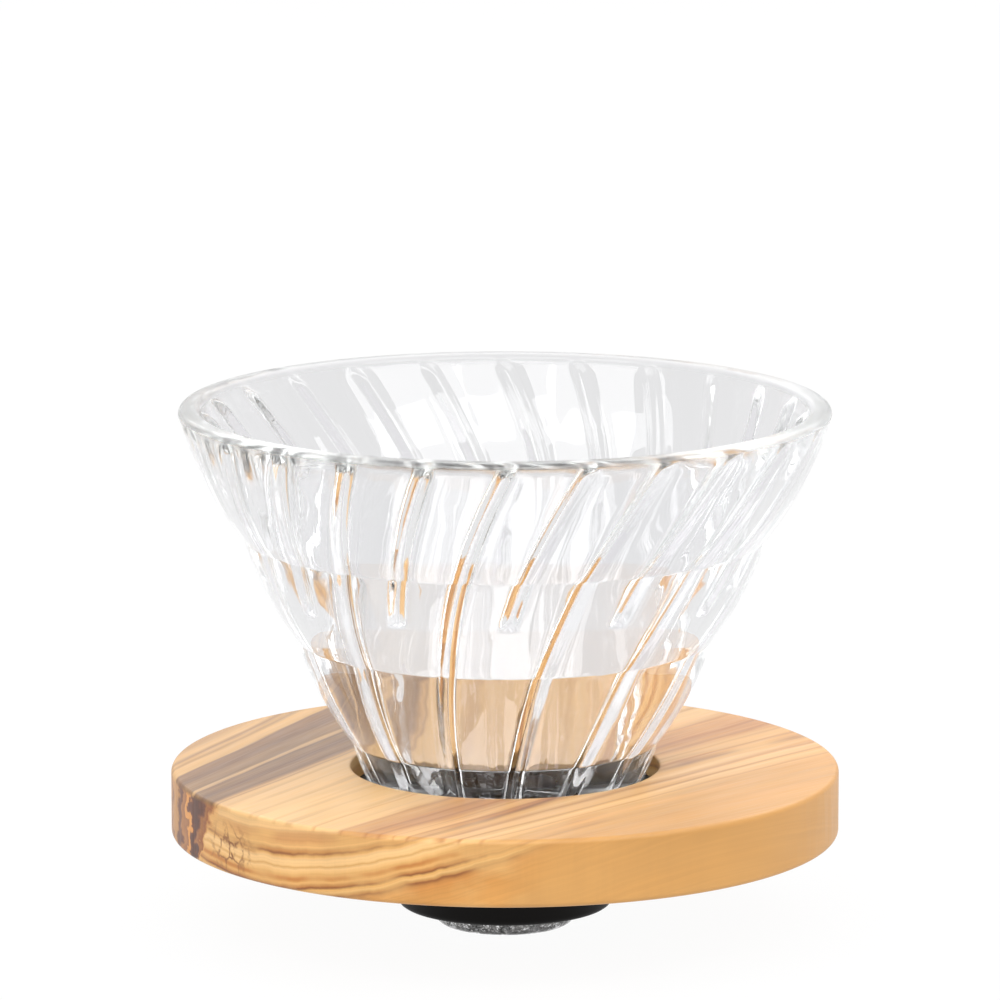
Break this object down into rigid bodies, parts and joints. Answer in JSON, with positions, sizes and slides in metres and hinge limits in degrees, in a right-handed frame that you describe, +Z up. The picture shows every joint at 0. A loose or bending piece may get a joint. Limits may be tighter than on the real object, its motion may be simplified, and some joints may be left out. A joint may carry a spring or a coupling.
{
  "type": "pour-over coffee dripper",
  "caption": "Cone-shaped glass coffee dripper with spiral ribs inside, clamped in a round wooden collar by a screw ring, to stand on a mug or server.",
  "frame": {"origin": "on the axis at the spout's lower edge, the lowest point", "axes": "+Z up along the cone's axis, from spout to rim; -Y is the side that faces the viewer"},
  "size_m": [0.1194, 0.1194, 0.094],
  "materials": {
    "glass": "pressed and fire-polished, clear",
    "olive_wood": "turned, sanded and oiled, satin",
    "silicone": "moulded, matte black",
    "polypropylene": "moulded, fine matte black"
  },
  "bodies": {
    "glass": {"glass_cone": "glass"},
    "collar": {"wood_collar": "olive_wood", "seat_gasket": "silicone"},
    "lock_ring": {"lock_ring": "polypropylene"}
  },
  "joints": [
    {"name": "collar_slide", "type": "slide", "parent": "glass", "child": "collar", "axis": [0, 0, -1], "range_m": [0, 0.012]},
    {"name": "lock_ring_turn", "type": "hinge", "parent": "collar", "child": "lock_ring", "pos_m": [0, 0, 0.0154], "axis": [0, 0, -1], "range_deg": [0, 1080]}
  ],
  "couplings": [
    {"joint": "collar_slide", "follows": "lock_ring_turn", "m_per_rad": 0.0006366}
  ]
}
